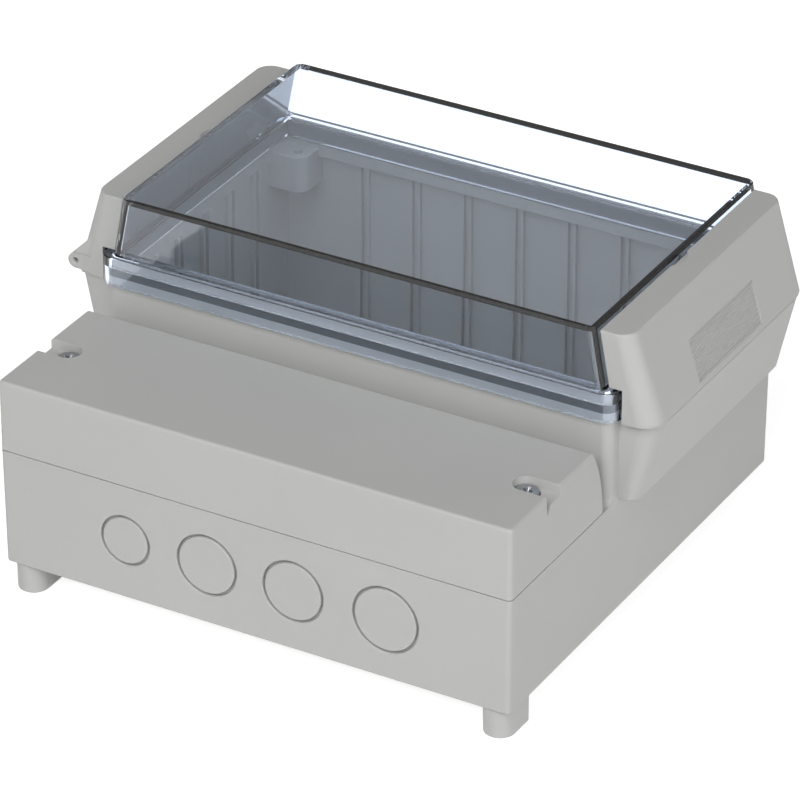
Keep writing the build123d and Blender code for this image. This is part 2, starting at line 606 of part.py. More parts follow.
def add_cover_ear(cover):
    """The cover's half of the sealing ear, with a slot behind it that the base's half rises into."""
    pad_low = SIDE_REAR_Y - EAR_PAD_THICKNESS
    plate_low = SIDE_REAR_Y - COVER_EAR_THICKNESS
    high_z = RIDGE_Z + EAR_ROOT_RISE
    pad_foot_z = EAR_Z - EAR_NOSE
    corner_x = side_half_width(RIDGE_Z) - RIDGE_CORNER
    plate_roots = [
        (side_half_width(high_z) - EAR_ROOT_INSET, high_z),
        (side_half_width(high_z) - RIDGE_CORNER, high_z),
        (corner_x, pad_foot_z),
    ]
    pad_roots = [(corner_x, EAR_Z + EAR_NOSE), (corner_x, pad_foot_z)]
    plate, hole = ear_plate(plate_low, pad_low + EDGE_MATCH, plate_roots)
    pad, pad_hole = ear_plate(pad_low, SIDE_REAR_Y, pad_roots)
    slot_inner_x = EAR_X - EAR_NOSE - SIDE_GAP
    slot_low_y = plate_low - 2 * SEAM_GAP - BASE_EAR_THICKNESS
    slot_top_z = EAR_Z + EAR_NOSE + SIDE_GAP
    slot = block(slot_inner_x, RIDGE_HALF_WIDTH + OVERRUN, slot_low_y, plate_low,
                 SIDE_FOOT_Z - OVERRUN, slot_top_z)
    return cover + plate + pad - slot - hole - pad_hole


def release_notch():
    """A shallow crescent in the top, at the edge beside the lid, for a screwdriver blade."""
    radius = (NOTCH_LENGTH ** 2 / 4 + NOTCH_WIDTH ** 2) / (2 * NOTCH_WIDTH)
    edge_x = lid_side_x(SIDE_TOP_Z) + LID_SIDE_GAP
    x = edge_x + NOTCH_WIDTH - radius
    return post(x, SIDE_CENTRE_Y, radius, SIDE_TOP_Z - NOTCH_DEPTH, SIDE_TOP_Z + OVERRUN)


def grip_recess():
    """A shallow recess in the slope, for pulling the cover up."""
    points = [
        (side_half_width(GRIP_FOOT_Z) - GRIP_DEPTH, GRIP_FOOT_Z),
        (side_half_width(GRIP_FOOT_Z) + OVERRUN, GRIP_FOOT_Z),
        (side_half_width(GRIP_TOP_Z) + OVERRUN, GRIP_TOP_Z),
        (side_half_width(GRIP_TOP_Z) - GRIP_DEPTH, GRIP_TOP_Z),
    ]
    return side_profile(points, SIDE_CENTRE_Y - GRIP_LENGTH / 2, SIDE_CENTRE_Y + GRIP_LENGTH / 2)


def cover_section(inset, z_foot):
    """Side view of the terminal cover: flat top and a rear that curves down to the seam."""
    front = FRONT_Y + inset
    rear = COVER_REAR_Y - inset
    top_rear = FRONT_Y + COVER_TOP_DEPTH - inset
    top = COVER_TOP_Z - inset
    rise = top - z_foot
    radius = (rise ** 2 + (rear - top_rear) ** 2) / (2 * (rear - top_rear))
    middle_z = z_foot + rise / 2
    middle_y = rear - radius + (radius ** 2 - (rise / 2) ** 2) ** 0.5
    lines = Polyline((rear, z_foot), (front, z_foot), (front, top), (top_rear, top))
    curve = ThreePointArc((top_rear, top), (middle_y, middle_z), (rear, z_foot))
    return make_face(lines + curve)


def terminal_cover():
    section = Plane.YZ * cover_section(0, COVER_FOOT_Z)
    body = extrude(section, amount=HALF_WIDTH, both=True)
    upright = body.edges().filter_by(Axis.Z)
    body = fillet(upright, BASE_CORNER)
    body = fillet(body.faces().sort_by(Axis.Z)[-1].edges(), COVER_EDGE_ROUND)
    inner = Plane.YZ * cover_section(COVER_WALL, COVER_FOOT_Z)
    hollow = extrude(inner, amount=HALF_WIDTH - COVER_WALL, both=True)
    rim_top = COVER_FOOT_Z + COVER_RIM_HEIGHT
    rim_keep = ring(front_outline, 0, COVER_RIM_THICKNESS, COVER_FOOT_Z, rim_top)
    hollow -= rim_keep
    for side in (-1, 1):
        hollow -= screw_column(side)
    body -= hollow
    for side in (-1, 1):
        for cut in screw_pocket(side):
            body -= cut
    groove_inner = WALL + TONGUE_GAP
    groove_top = SEAM_Z + COVER_TONGUE_HEIGHT + TONGUE_GAP + COVER_GASKET_HEIGHT
    body -= ring(front_outline, TONGUE_OUTER_INSET - TONGUE_GAP, groove_inner, COVER_FOOT_Z, groove_top)
    return body


def screw_column(side):
    """The column and slot surround that stay solid inside the terminal cover."""
    x = side * COVER_SCREW_X
    column = post(x, COVER_SCREW_Y, COVER_COLUMN_RADIUS, COVER_FOOT_Z, COVER_TOP_Z)
    half = SLOT_WIDTH / 2 + SLOT_BLOCK_WALL
    floor_z = COUNTERBORE_Z - SLOT_BLOCK_WALL
    surround = post(x, COVER_SCREW_Y, half, floor_z, COVER_TOP_Z)
    x_pair = sorted((x, side * HALF_WIDTH))
    surround += block(*x_pair, COVER_SCREW_Y - half, COVER_SCREW_Y + half, floor_z, COVER_TOP_Z)
    return column + surround


def screw_pocket(side):
    """The slot that opens at the end of the cover, its counterbore, hole and end notch."""
    x = side * COVER_SCREW_X
    half = SLOT_WIDTH / 2
    low_y = COVER_SCREW_Y - half
    high_y = COVER_SCREW_Y + half
    slot_top = COVER_TOP_Z + OVERRUN
    slot = post(x, COVER_SCREW_Y, half, SLOT_FLOOR_Z, slot_top)
    x_pair = sorted((x, side * (HALF_WIDTH + OVERRUN)))
    slot += block(*x_pair, low_y, high_y, SLOT_FLOOR_Z, slot_top)
    head_radius = M4_HEAD / 2 + SCREW_RUNNING_GAP
    bore = post(x, COVER_SCREW_Y, head_radius, COUNTERBORE_Z, SLOT_FLOOR_Z + OVERRUN)
    shank_radius = M4_SHANK / 2 + CLEARANCE_HOLE_GAP
    hole = post(x, COVER_SCREW_Y, shank_radius, COVER_FOOT_Z - OVERRUN, COUNTERBORE_Z + OVERRUN)
    recess_radius = M4_SHANK / 2 + WASHER_OVERLAP + SCREW_RUNNING_GAP
    recess_top = COVER_FOOT_Z + WASHER_RECESS
    recess = post(x, COVER_SCREW_Y, recess_radius, COVER_FOOT_Z - OVERRUN, recess_top)
    vee_points = [
        (low_y, SLOT_FLOOR_Z),
        (low_y + VEE_WIDTH, SLOT_FLOOR_Z),
        (low_y + VEE_TIP, SLOT_FLOOR_Z - VEE_DEPTH),
    ]
    vee_face = Plane.YZ * make_face(Polyline(*vee_points, close=True))
    vee_pair = sorted((side * (HALF_WIDTH - VEE_REACH), side * (HALF_WIDTH + OVERRUN)))
    vee = Pos(vee_pair[0], 0, 0) * extrude(vee_face, amount=vee_pair[1] - vee_pair[0])
    return [slot, bore, hole, recess, vee]


def screw(x, y, seat_z, shank, head, head_height, length):
    """A cheese-head screw with a cross recess, standing just above its seat."""
    foot_z = seat_z + HEAD_GAP
    body = post(x, y, head / 2, foot_z, foot_z + head_height)
    body += post(x, y, shank / 2, foot_z - length, foot_z)
    long_side = head * RECESS_LENGTH_SHARE
    top_z = foot_z + head_height
    for size_x, size_y in ((long_side, RECESS_WIDTH), (RECESS_WIDTH, long_side)):
        body -= block(x - size_x / 2, x + size_x / 2, y - size_y / 2, y + size_y / 2,
                      top_z - RECESS_DEPTH, top_z)
    return body


def washer(x, y, recess_foot_z, shank):
    """The captive washer that sits in a recess under a lug or column."""
    z_low = recess_foot_z + WASHER_DROP
    disc = post(x, y, shank / 2 + WASHER_OVERLAP, z_low, z_low + WASHER_THICKNESS)
    return disc - post(x, y, shank / 2, z_low, z_low + WASHER_THICKNESS)


def insert(x, y, top_z, diameter, length, shank):
    """A brass insert, level with the top of its boss."""
    sleeve = post(x, y, diameter / 2, top_z - length, top_z)
    return sleeve - post(x, y, shank / 2 + SCREW_RUNNING_GAP, top_z - length, top_z)


def lid_gasket():
    return ring(rim_outline, 0, TONGUE_OUTER_INSET, LEDGE_Z, LID_FLANGE_FOOT_Z - SEAM_GAP)


def cover_gasket():
    z_low = SEAM_Z + COVER_TONGUE_HEIGHT + TONGUE_GAP
    outer = TONGUE_OUTER_INSET - TONGUE_GAP
    return ring(front_outline, outer, WALL + TONGUE_GAP, z_low, z_low + COVER_GASKET_HEIGHT)


def write(node, shape):
    solids = shape.solids()
    print(node, len(solids), "solids, volume", round(sum(solid.volume for solid in solids), 2))
    whole = solids[0] if len(solids) == 1 else Compound(children=list(solids))
    export_step(whole, f"parts/{node}.step")


write("base_housing", base_housing())
write("terminal_cover", terminal_cover())
write("lid", lid())
plain_cover = side_cover()
write("side_cover_right", plain_cover)
write("side_cover_left", half_turn(add_cover_ear(plain_cover)))
write("lid_gasket", lid_gasket())
write("terminal_cover_gasket", cover_gasket())

for side_name, side in (("left", -1), ("right", 1)):
    for place, y in zip(("front", "rear"), LID_SCREW_YS):
        x = side * LID_SCREW_X
        name = f"{side_name}_{place}"
        write(f"lid_screw_{name}", screw(x, y, LUG_TOP_Z, M3_SHANK, M3_HEAD, M3_HEAD_HEIGHT, M3_LENGTH))
        write(f"lid_screw_washer_{name}", washer(x, y, LUG_FOOT_Z, M3_SHANK))
        write(f"lid_insert_{name}", insert(x, y, LID_BOSS_TOP_Z, M3_INSERT, M3_INSERT_LENGTH, M3_SHANK))
    x = side * COVER_SCREW_X
    y = COVER_SCREW_Y
    cover_screw = screw(x, y, COUNTERBORE_Z, M4_SHANK, M4_HEAD, M4_HEAD_HEIGHT, M4_LENGTH)
    write(f"cover_screw_{side_name}", cover_screw)
    write(f"cover_screw_washer_{side_name}", washer(x, y, COVER_FOOT_Z, M4_SHANK))
    write(f"cover_insert_{side_name}", insert(x, y, SEAM_Z, M4_INSERT, M4_INSERT_LENGTH, M4_SHANK))
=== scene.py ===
# %% [markdown]
# # A controller enclosure
# This lesson dresses a wall-mounting plastic enclosure that is already modelled as solids. The
# solids arrive as a fixed frame: a grey housing, a see-through lid, two side covers, a cover over
# the terminals, and the screws, washers, inserts and gaskets that hold them together. They could
# be modelled again here, but they already fit each other and move on their own slides, so this
# file builds on them and adds what they lack: rounded edges, threads, cross recesses and finishes.

# %% Load the solids
import json
import math

import bmesh
import bpy
from mathutils import Matrix, Vector


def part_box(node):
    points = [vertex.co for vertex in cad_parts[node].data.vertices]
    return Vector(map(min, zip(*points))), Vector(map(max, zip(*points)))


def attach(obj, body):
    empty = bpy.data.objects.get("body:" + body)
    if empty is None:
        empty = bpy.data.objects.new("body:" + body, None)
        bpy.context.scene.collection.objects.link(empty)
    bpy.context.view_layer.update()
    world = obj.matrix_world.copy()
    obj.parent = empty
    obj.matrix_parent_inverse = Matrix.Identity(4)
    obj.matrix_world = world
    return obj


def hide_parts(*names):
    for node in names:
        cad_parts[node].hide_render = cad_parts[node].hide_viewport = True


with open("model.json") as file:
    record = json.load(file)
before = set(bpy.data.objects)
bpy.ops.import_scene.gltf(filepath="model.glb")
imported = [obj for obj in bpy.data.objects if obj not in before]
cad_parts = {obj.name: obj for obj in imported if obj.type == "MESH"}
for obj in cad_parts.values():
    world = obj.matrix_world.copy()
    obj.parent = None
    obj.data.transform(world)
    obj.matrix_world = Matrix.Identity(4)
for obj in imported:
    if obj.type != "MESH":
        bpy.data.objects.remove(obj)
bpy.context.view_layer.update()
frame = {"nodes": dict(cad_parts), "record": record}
MM = 0.001
bpy.ops.object.select_all(action="DESELECT")

# %% [markdown]
# ## Camera
# The enclosure was photographed from its right front corner and from above, with a long lens, so
# that its sides stay nearly parallel. The camera could be placed by eye, but its distance, height
# and lens come from the corners of the base measured in the picture, so they are typed in here.
# It looks a little past the middle of the enclosure, and needs no lens shift.

# %% Camera
AZIMUTH = math.radians(29.82)
ELEVATION = math.radians(30.29)
DISTANCE = 1607.9 * MM
FOCAL_PIXELS = 5554.9
FRAME_PIXELS = 800.0
SENSOR_MM = 36.0
TARGET = Vector((0.0, -5.3 * MM, 42.7 * MM))
AIM_RIGHT_PIXELS = 17.41
AIM_UP_PIXELS = 19.17

outward = Vector((math.sin(AZIMUTH) * math.cos(ELEVATION),
                  -math.cos(AZIMUTH) * math.cos(ELEVATION),
                  math.sin(ELEVATION)))
right = Vector((math.cos(AZIMUTH), math.sin(AZIMUTH), 0.0))
up = outward.cross(right)
pixel = DISTANCE / FOCAL_PIXELS
aim = TARGET + (right * AIM_RIGHT_PIXELS + up * AIM_UP_PIXELS) * pixel
camera_data = bpy.data.cameras.new("photo_camera")
camera_data.sensor_width = SENSOR_MM
camera_data.lens = FOCAL_PIXELS * SENSOR_MM / FRAME_PIXELS
camera_data.dof.use_dof = False
camera = bpy.data.objects.new("photo_camera", camera_data)
bpy.context.scene.collection.objects.link(camera)
camera.location = TARGET + outward * DISTANCE
camera.rotation_euler = (aim - camera.location).to_track_quat("-Z", "Y").to_euler()
bpy.context.scene.camera = camera
print("lens", round(camera_data.lens, 1), "mm, up", [round(part, 3) for part in up])

# %% [markdown]
# ## Where each piece belongs
# Every new piece stands for one solid and moves with it. The record that came with the solids
# says which body carries a solid, so that is looked up once here
# and never typed in by hand for each piece.

# %% Bodies
BODY_OF = {node: body for body, nodes in frame["record"]["behaviour"]["bodies"].items()
           for node in nodes}
modelled = {}


def stand_for(piece, node):
    """Puts a finished piece in a solid's place and on its body."""
    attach(piece, BODY_OF[node])
    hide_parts(node)
    modelled[node] = piece


def only_nothing():
    """Deselects everything, so that an operator acts on nothing by accident."""
    bpy.ops.object.select_all(action="DESELECT")


def only(piece):
    """Selects one object and makes it the active one."""
    only_nothing()
    bpy.context.view_layer.objects.active = piece
    piece.select_set(True)


print("bodies:", sorted(set(BODY_OF.values())))

# %% [markdown]
# ## Rounded edges on the mouldings
# A moulded cover has no knife edge: the tool leaves a small round on every outer corner, and that
# round catches the light as a thin bright line. The solids are drawn with sharp edges. A bevel on
# every edge would crumple where curves meet, so only long lines get one. A line is made of sharp
# edges that run on from each other in nearly the same direction, without a fork.

# %% Following a line
SHARP = math.radians(30)
STRAIGHT_ON = math.radians(130)


def run_of(start, sharp):
    """All sharp edges that carry on from one edge without a fork or a corner."""
    line = {start}
    todo = [start]
    while todo:
        edge = todo.pop()
        for vertex in edge.verts:
            beyond = [other for other in vertex.link_edges if other in sharp and other is not edge]
            if len(beyond) != 1 or beyond[0] in line:
                continue
            back = edge.other_vert(vertex).co - vertex.co
            ahead = beyond[0].other_vert(vertex).co - vertex.co
            if back.angle(ahead) > STRAIGHT_ON:
                line.add(beyond[0])
                todo.append(beyond[0])
    return line


print("edges turning more than", round(math.degrees(SHARP)), "degrees count as sharp")

# %% [markdown]
# Even a long line can be a bad place for a round. Beside a narrow face, such as the rim of a thin
# wall, the round would turn the face inside out, and where short edges meet the line's end, it
# would run past them. Such lines stay sharp, and so do inner corners, which hardly show. Bevel
# weight on an edge is what tells the Bevel modifier to round it.

# %% Marking long lines
LEAST_LINE = 4.0 * MM
LEAST_BESIDE = 3.0 * MM
WIDTHS_AT_SIDE = 4.0
WIDTHS_AT_END = 1.4


def mean_width(face):
    """The width a long thin face would have; for any other face a fair measure of its size."""
    return 2 * face.calc_area() / face.calc_perimeter()


def room_beside(line):
    """The mean width of the narrowest face that runs along a good part of a line."""
    along = {}
    for edge in line:
        for face in edge.link_faces:
            along[face] = along.get(face, 0.0) + edge.calc_length()
    widths = [mean_width(face) for face, length in along.items() if length > LEAST_BESIDE]
    return min(widths, default=math.inf)


def worth_rounding(line, sharp, width):
    """Whether a line is long, convex, free at its ends and has room at its sides."""
    ends = {other for edge in line for vertex in edge.verts for other in vertex.link_edges
            if other in sharp and other not in line}
    if any(other.calc_length() < WIDTHS_AT_END * width for other in ends):
        return False
    if not all(edge.is_convex for edge in line):
        return False
    if sum(edge.calc_length() for edge in line) < LEAST_LINE:
        return False
    return room_beside(line) > WIDTHS_AT_SIDE * width


def mark_long_lines(piece, width):
    """Gives bevel weight to the sharp lines that are worth rounding."""
    work = bmesh.new()
    work.from_mesh(piece.data)
    weight = work.edges.layers.float.new("bevel_weight_edge")
    sharp = {edge for edge in work.edges if edge.is_manifold and edge.calc_face_angle(0) > SHARP}
    left = set(sharp)
    marked = 0
    while left:
        line = run_of(next(iter(left)), sharp)
        left -= line
        if worth_rounding(line, sharp, width):
            marked += 1
            for edge in line:
                edge[weight] = 1.0
    work.to_mesh(piece.data)
    work.free()
    return marked


print("a line to be rounded is at least", round(LEAST_LINE / MM), "mm long")

# %% [markdown]
# The solids come as loose triangles, and a bevel needs faces that know their neighbours, so each
# copy is merged and its flat faces are joined first. The solid itself is left alone. A bevelled
# corner can stand out past the moulding's own box by a few tenths, and is pulled back to it.

# %% Merging and bevelling
MERGE_WITHIN = 0.005 * MM
FLAT_WITHIN = math.radians(0.3)


def merged_copy(node):
    """A copy of a solid with its loose triangles merged and its flat faces joined."""
    piece = bpy.data.objects.new(node + "_moulded", frame["nodes"][node].data.copy())
    bpy.context.scene.collection.objects.link(piece)
    only(piece)
    bpy.ops.object.mode_set(mode="EDIT")
    bpy.ops.mesh.select_all(action="SELECT")
    bpy.ops.mesh.remove_doubles(threshold=MERGE_WITHIN)
    bpy.ops.mesh.dissolve_limited(angle_limit=FLAT_WITHIN)
    bpy.ops.mesh.select_all(action="DESELECT")
    bpy.ops.object.mode_set(mode="OBJECT")
    return piece


def round_marked(piece, width, low, high):
    """Rounds the marked edges and keeps the piece inside its box."""
    bevel = piece.modifiers.new("edge_round", "BEVEL")
    bevel.width = width
    bevel.segments = 2
    bevel.limit_method = "WEIGHT"
    bevel.use_clamp_overlap = False
    bevel.loop_slide = False
    bpy.ops.object.modifier_apply(modifier=bevel.name)
    for vertex in piece.data.vertices:
        vertex.co = [min(max(part, least), most)
                     for part, least, most in zip(vertex.co, low, high)]


print("corners closer than", MERGE_WITHIN / MM, "mm are merged")

# %% [markdown]
# Smooth shading alone would bend the light across the big flat faces too. The faces could be made
# of flat and smooth parts by hand, but a Weighted Normal modifier does it at once: the largest
# face at a corner sets its shading, so only the rounds bend. Where a round runs out, a corner can
# get the light of the face round the corner, so a corner that leans too far is set straight.

# %% Shading the rounds
SMOOTH_UNDER = math.radians(35)
MOST_LEAN = math.radians(30)


def straighten(mesh):
    """Gives a corner its own face's direction wherever smoothing bent it too far from that."""
    leans = [corner.vector.copy() for corner in mesh.corner_normals]
    for face in mesh.polygons:
        for index in face.loop_indices:
            if leans[index].dot(face.normal) < math.cos(MOST_LEAN):
                leans[index] = face.normal.copy()
    mesh.normals_split_custom_set(leans)


def shade_rounds(piece):
    """Bends the light over rounds and curves, and leaves it straight on flat faces."""
    bpy.ops.object.shade_smooth_by_angle(angle=SMOOTH_UNDER)
    flat = piece.modifiers.new("flat_faces", "WEIGHTED_NORMAL")
    flat.weight = 100
    flat.keep_sharp = True
    bpy.ops.object.modifier_apply(modifier=flat.name)
    straighten(piece.data)


print("corners may lean", round(math.degrees(MOST_LEAN)), "degrees from their face")

# %% [markdown]
# The two side covers are the pieces that hands touch, so their rounds are a little larger.

# %% Rounded copies
EDGE_ROUNDS_MM = {"base_housing": 0.35, "terminal_cover": 0.35, "lid": 0.35,
                  "side_cover_right": 0.45, "side_cover_left": 0.45}
for node, width_mm in EDGE_ROUNDS_MM.items():
    piece = merged_copy(node)
    lines = mark_long_lines(piece, width_mm * MM)
    round_marked(piece, width_mm * MM, *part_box(node))
    shade_rounds(piece)
    stand_for(piece, node)
    print(piece.name, "lines rounded:", lines, "faces:", len(piece.data.polygons))

# %% [markdown]
# ## Captive screws
# Six zinc-plated screws hold the lid and the terminal cover. Each has a cheese head with a rounded
# rim, a cross recess that narrows downwards, a smooth neck where it is held captive, and a rolled
# thread. The thread could be a bump in the material, but it shows in outline when a screw is
# backed out, so it is a real ridge: one triangle swept round the shank by a Screw modifier.

# %% Picking faces
NEARLY_STRAIGHT = 0.9


def pick_faces(piece, wanted):
    """In edit mode, selects just the faces that pass the test."""
    bpy.ops.mesh.select_all(action="DESELECT")
    work = bmesh.from_edit_mesh(piece.data)
    work.faces.ensure_lookup_table()
    for face in work.faces:
        if wanted(face):
            face.select_set(True)
    bmesh.update_edit_mesh(piece.data)


def looks_up(face):
    return face.normal.z > NEARLY_STRAIGHT


def looks_down(face):
    return face.normal.z < -NEARLY_STRAIGHT


print("faces can be picked by where they look")

# %% [markdown]
# The head starts as a cylinder, and the shank is pulled out of its underside, so that head and
# shank are one skin. The last 0.6 mm narrows to a blunt point that helps a screw find its hole.

# %% Screw head and shank
HEAD_RIM_ROUND = 0.45 * MM
POINT_MM = 0.6
POINT_SHARE = 0.7


def screw_body(head_mm, head_height_mm, core_mm, length_mm):
    """A cheese head on a thin core, with its seat at z = 0."""
    only_nothing()
    bpy.ops.mesh.primitive_cylinder_add(vertices=40, radius=head_mm / 2 * MM,
                                        depth=head_height_mm * MM,
                                        location=(0, 0, head_height_mm / 2 * MM))
    piece = bpy.context.object
    bpy.ops.object.transform_apply(location=True, rotation=True, scale=True)
    bpy.ops.object.mode_set(mode="EDIT")
    bpy.ops.mesh.select_mode(type="FACE")
    pick_faces(piece, looks_up)
    bpy.ops.mesh.bevel(offset=HEAD_RIM_ROUND, segments=4, affect="EDGES")
    pick_faces(piece, looks_down)
    bpy.ops.mesh.inset(thickness=(head_mm - core_mm) / 2 * MM)
    for step_mm in (length_mm - POINT_MM, POINT_MM):
        bpy.ops.mesh.extrude_region_move(
            TRANSFORM_OT_translate={"value": (0, 0, -step_mm * MM)})
    bpy.ops.transform.resize(value=(POINT_SHARE, POINT_SHARE, 1.0))
    bpy.ops.object.mode_set(mode="OBJECT")
    return piece


print("a screw ends in a point", POINT_MM, "mm long")

# %% [markdown]
# The cross is cut by two bars that narrow downwards, one turned a quarter. They stand out above
# the head by a little, because a Boolean is unsure where two faces lie in one plane.

# %% Cross recess
BAR_LENGTH_SHARE = 0.6
BAR_WIDTH_SHARE = 0.16
BAR_FOOT_SHARE = 0.45
BAR_ABOVE_MM = 0.4


def cut_cross(piece, head_mm, top_mm, depth_mm):
    """Sinks a tapered cross into the head with a Boolean, from two crossed bars."""
    middle_mm = top_mm + BAR_ABOVE_MM / 2 - depth_mm / 2
    for quarter in (0, 1):
        only_nothing()
        bpy.ops.mesh.primitive_cube_add(size=1.0, location=(0, 0, middle_mm * MM))
        bar = bpy.context.object
        bar.scale = (BAR_LENGTH_SHARE * head_mm * MM, BAR_WIDTH_SHARE * head_mm * MM,
                     (depth_mm + BAR_ABOVE_MM) * MM)
        bar.rotation_euler = (0, 0, quarter * math.pi / 2)
        bpy.ops.object.transform_apply(location=True, rotation=True, scale=True)
        bpy.ops.object.mode_set(mode="EDIT")
        bpy.ops.mesh.select_mode(type="FACE")
        pick_faces(bar, looks_down)
        bpy.ops.transform.resize(value=(BAR_FOOT_SHARE, BAR_FOOT_SHARE, 1.0))
        bpy.ops.object.mode_set(mode="OBJECT")
        only(piece)
        cut = piece.modifiers.new("cross_recess", "BOOLEAN")
        cut.operation = "DIFFERENCE"
        cut.solver = "EXACT"
        cut.object = bar
        bpy.ops.object.modifier_apply(modifier=cut.name)
        bpy.data.objects.remove(bar)


print("the cross is", BAR_LENGTH_SHARE, "of the head across")

# %% [markdown]
# A thread's ridge is a triangle that climbs one pitch in each turn. The Screw modifier sweeps just
# that. The triangle's foot is sunk a little into the core, so that no gap shows between them, and
# the open ends are closed.

# %% Thread
SUNK_MM = 0.08
RIDGE_SHARE = 0.42


def add_thread(piece, shank_mm, core_mm, pitch_mm, low_mm, turns):
    """Sweeps a triangular ridge up the core and joins it on."""
    profile = bpy.data.meshes.new("thread_profile")
    inner = (core_mm / 2 - SUNK_MM) * MM
    half = RIDGE_SHARE * pitch_mm * MM
    corners = [(inner, 0, -half), (shank_mm / 2 * MM, 0, 0), (inner, 0, half)]
    profile.from_pydata(corners, [(0, 1), (1, 2), (2, 0)], [])
    ridge = bpy.data.objects.new("thread_ridge", profile)
    bpy.context.scene.collection.objects.link(ridge)
    only(ridge)
    sweep = ridge.modifiers.new("helix", "SCREW")
    sweep.axis = "Z"
    sweep.screw_offset = pitch_mm * MM
    sweep.iterations = turns
    sweep.steps = 18
    sweep.render_steps = 18
    bpy.ops.object.modifier_apply(modifier=sweep.name)
    bpy.ops.object.mode_set(mode="EDIT")
    bpy.ops.mesh.select_all(action="SELECT")
    bpy.ops.mesh.fill_holes(sides=3)
    bpy.ops.mesh.normals_make_consistent(inside=False)
    bpy.ops.object.mode_set(mode="OBJECT")
    ridge.data.transform(Matrix.Translation((0, 0, low_mm * MM)))
    only(piece)
    ridge.select_set(True)
    bpy.ops.object.join()


print("a ridge is", 2 * RIDGE_SHARE, "of a pitch wide")

# %% [markdown]
# The lid's screws have an M3 thread and the terminal cover's an M4. Each is modelled once, with
# the seat of its head at z = 0, and its thread covers the lower half of its shank.

# %% Captive screws
M3 = {"head_mm": 5.5, "head_height_mm": 2.0, "shank_mm": 2.8, "length_mm": 12.6, "pitch_mm": 0.5}
M4 = {"head_mm": 7.2, "head_height_mm": 2.4, "shank_mm": 3.8, "length_mm": 26.0, "pitch_mm": 0.7}
THREAD_DEPTH_SHARE = 0.55
THREADED_SHARE = 0.55
RECESS_SHARE = 0.5


def captive_screw(name, head_mm, head_height_mm, shank_mm, length_mm, pitch_mm):
    core_mm = shank_mm - 2 * THREAD_DEPTH_SHARE * pitch_mm
    piece = screw_body(head_mm, head_height_mm, core_mm, length_mm)
    piece.name = name
    cut_cross(piece, head_mm, head_height_mm, RECESS_SHARE * head_height_mm)
    turns = int(THREADED_SHARE * length_mm / pitch_mm)
    add_thread(piece, shank_mm, core_mm, pitch_mm, pitch_mm - length_mm, turns)
    only(piece)
    bpy.ops.object.shade_smooth_by_angle(angle=SMOOTH_UNDER)
    print(name, "turns of thread:", turns, "faces:", len(piece.data.polygons))
    return piece


m3_screw = captive_screw("m3_captive_screw", **M3)
m4_screw = captive_screw("m4_captive_screw", **M4)

# %% [markdown]
# The four lid screws are copies of the small one and the two cover screws copies of the large one,
# each with its own mesh. A copy is moved inside its mesh, so that its object stays at the origin.

# %% Placing the screws
def place_screw(model, node, head_height_mm):
    low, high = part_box(node)
    piece = bpy.data.objects.new(node + "_threaded", model.data.copy())
    bpy.context.scene.collection.objects.link(piece)
    seat = Vector(((low.x + high.x) / 2, (low.y + high.y) / 2, high.z - head_height_mm * MM))
    piece.data.transform(Matrix.Translation(seat))
    stand_for(piece, node)


for node in frame["nodes"]:
    if "washer" in node:
        continue
    if node.startswith("lid_screw"):
        place_screw(m3_screw, node, M3["head_height_mm"])
    if node.startswith("cover_screw"):
        place_screw(m4_screw, node, M4["head_height_mm"])
bpy.data.objects.remove(m3_screw)
bpy.data.objects.remove(m4_screw)
print("pieces modelled:", len(modelled))

# %% [markdown]
# ## Helpers for finishes
# A finish is a small network of shader nodes. Written out in full, each node takes several lines,
# so one helper adds a node, sets it and wires it up. Colours are written as the hex values that a
# screen shows, while the renderer works with linear light, so another helper converts them, and
# a third blends two of them.

# %% Node and colour helpers
def linear(hex_colour):
    """The linear colour, with alpha 1, of an sRGB hex value such as 8899AA."""
    parts = [int(hex_colour[i:i + 2], 16) / 255 for i in (0, 2, 4)]
    return [p / 12.92 if p <= 0.04045 else ((p + 0.055) / 1.055) ** 2.4 for p in parts] + [1.0]


def add(tree, kind, inputs=None, **settings):
    """Adds one shader node, with its own settings, and input values or links."""
    made = tree.nodes.new(kind)
    for name, value in settings.items():
        setattr(made, name, value)
    for name, value in (inputs or {}).items():
        if isinstance(value, bpy.types.NodeSocket):
            tree.links.new(value, made.inputs[name])
        else:
            made.inputs[name].default_value = value
    return made


def per_metre(size_mm):
    """The texture scale that gives a pattern features of this size in millimetres."""
    return 1.0 / (size_mm * MM)


def mixed(tree, factor, first, second):
    """A colour between two hex values. A Mix node has sockets A, B and Result for each kind of
    value, and those for colours are inputs 6 and 7 and output 2."""
    mix = add(tree, "ShaderNodeMix", {"Factor": factor}, data_type="RGBA")
    mix.inputs[6].default_value = linear(first)
    mix.inputs[7].default_value = linear(second)
    return mix.outputs[2]


def new_finish(name):
    """An empty material with its shader and the coordinates of the object it is on."""
    material = bpy.data.materials.new(name)
    material.use_nodes = True
    tree = material.node_tree
    shader = tree.nodes["Principled BSDF"]
    place = add(tree, "ShaderNodeTexCoord").outputs["Object"]
    return material, tree, shader, place


print("middle grey #808080 is linear", [round(part, 3) for part in linear("808080")])

# %% [markdown]
# ## Light grey moulded plastic
# The housing and its covers are moulded in a light grey blend of ABS and polycarbonate. The mould
# is spark-eroded, so the skin has a fine, even grain and a satin sheen, and flow in the mould
# leaves the faintest clouds in it. The grain is under 0.3 mm across and would vanish at this
# distance, so it is drawn about 0.8 mm across. Noise drives the grain, a second and broader noise
# the clouds, because a picture texture would have to be unwrapped and would not scale. The same
# finish can carry ribs, which the grips need further on. They come from a wave texture, whose
# bands are 0.314 of a metre apart at a scale of 1, so a larger scale brings them closer.

